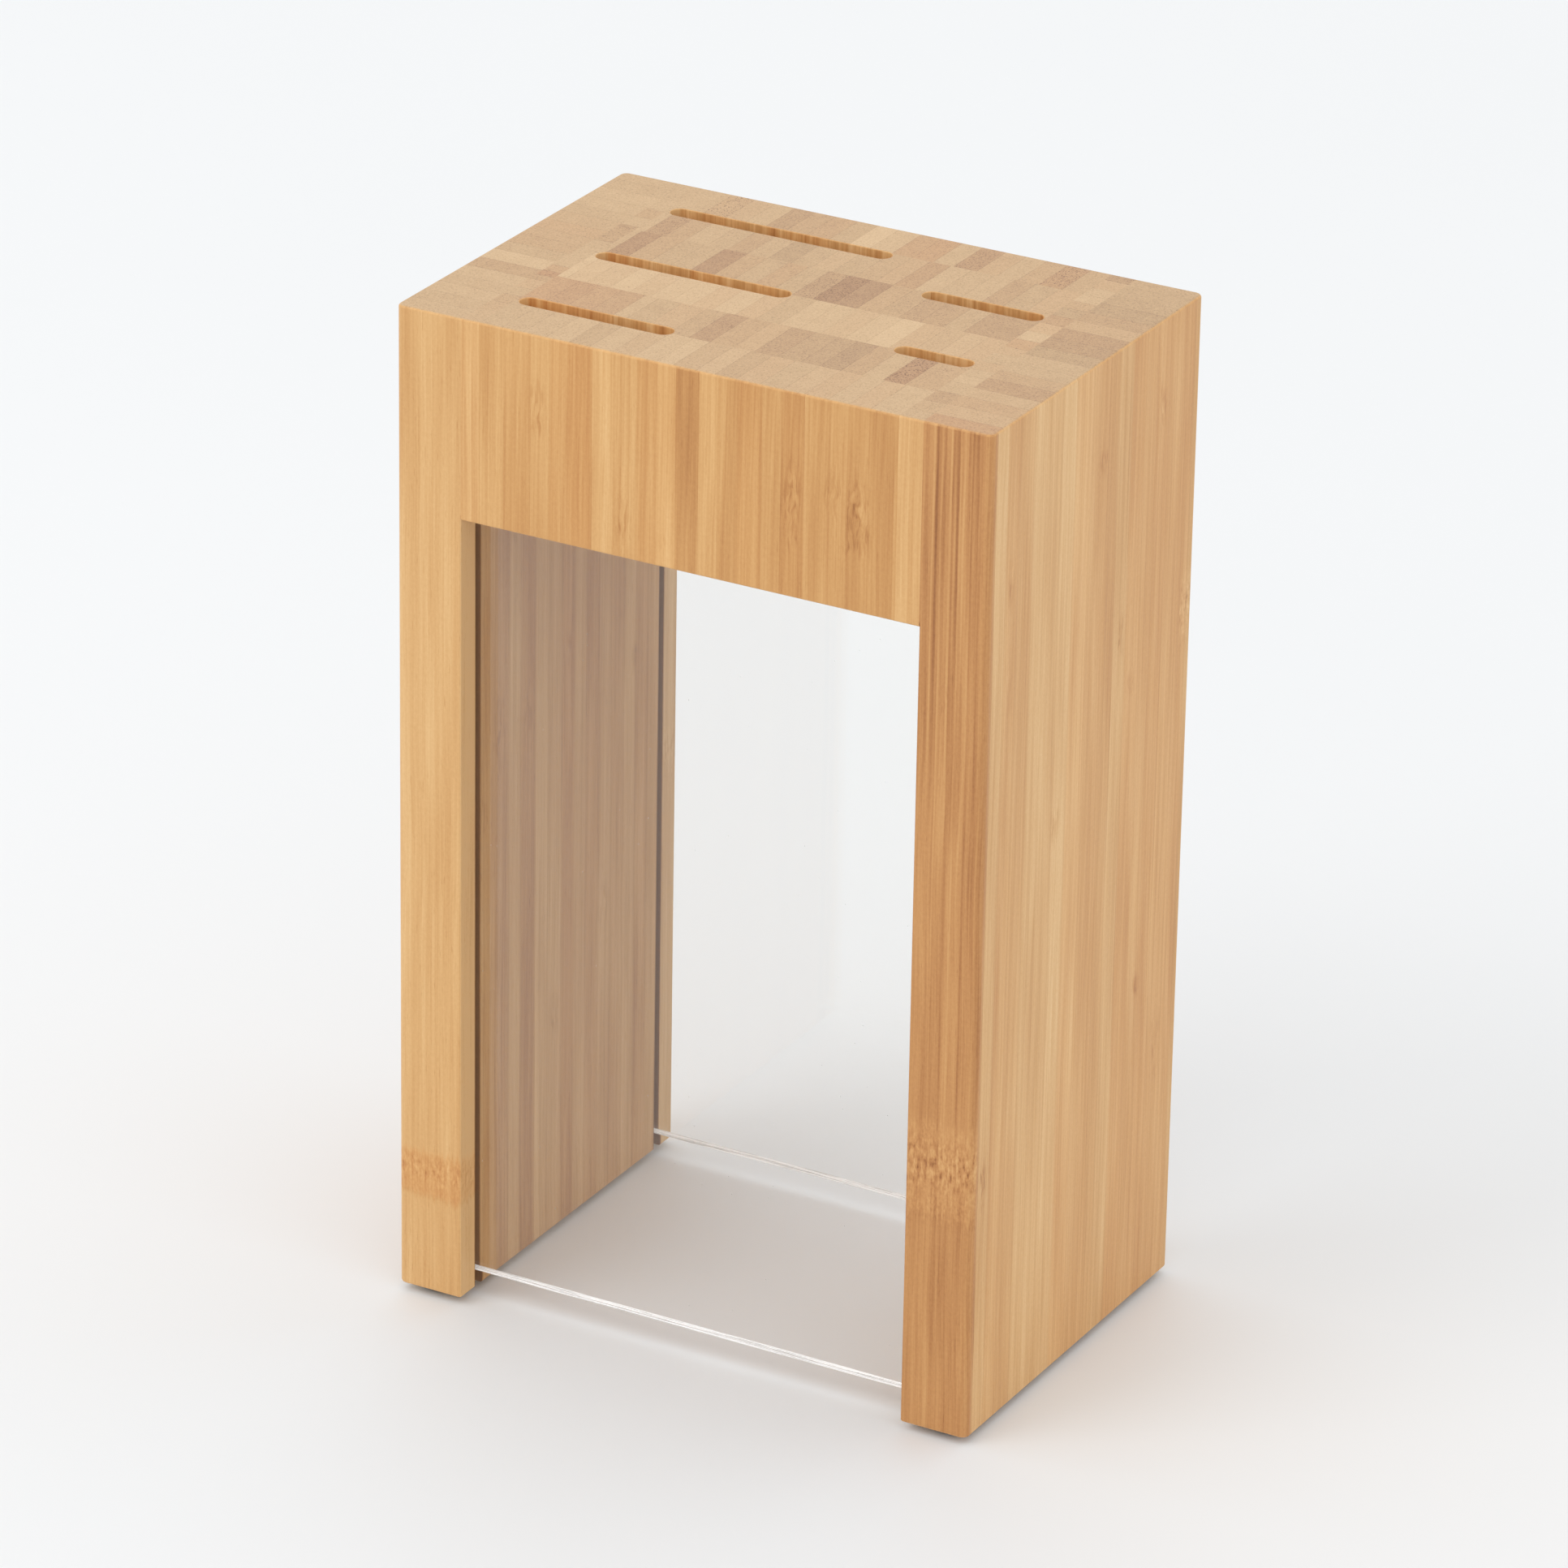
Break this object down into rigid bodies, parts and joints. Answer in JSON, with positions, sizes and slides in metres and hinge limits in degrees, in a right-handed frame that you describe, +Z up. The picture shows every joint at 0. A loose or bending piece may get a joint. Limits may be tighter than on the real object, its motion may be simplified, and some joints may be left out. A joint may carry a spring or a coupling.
{
  "type": "knife block",
  "caption": "Upright knife block: two bamboo side boards carry a slotted end-grain header, with clear sliding panels closing the front and rear below it.",
  "frame": {"origin": "centre of the footprint on the surface the feet stand on", "axes": "+Z up, +X to the right along the wide front, +Y from the front (side with the shortest slot pair nearest) to the rear"},
  "size_m": [0.16, 0.107, 0.262],
  "materials": {
    "bamboo_board": "satin lacquered carbonised bamboo, upright grain",
    "bamboo_core": "satin lacquered bamboo, end grain on top",
    "clear_acrylic": "clear polished sheet",
    "foot_rubber": "matte black"
  },
  "bodies": {
    "block": {"left_side_board": "bamboo_board", "right_side_board": "bamboo_board", "core_board_1": "bamboo_core", "core_board_2": "bamboo_core", "core_board_3": "bamboo_core", "core_board_4": "bamboo_core", "core_board_5": "bamboo_core", "core_board_6": "bamboo_core", "left_spacer_strip": "bamboo_core", "right_spacer_strip": "bamboo_core", "foot_front_left": "foot_rubber", "foot_front_right": "foot_rubber", "foot_rear_left": "foot_rubber", "foot_rear_right": "foot_rubber"},
    "front_window": {"front_panel": "clear_acrylic"},
    "rear_window": {"rear_panel": "clear_acrylic"}
  },
  "joints": [
    {"name": "front_panel_slide", "type": "slide", "parent": "block", "child": "front_window", "axis": [0, 0, -1], "range_m": [0, 0.212]},
    {"name": "rear_panel_slide", "type": "slide", "parent": "block", "child": "rear_window", "axis": [0, 0, -1], "range_m": [0, 0.212]}
  ]
}
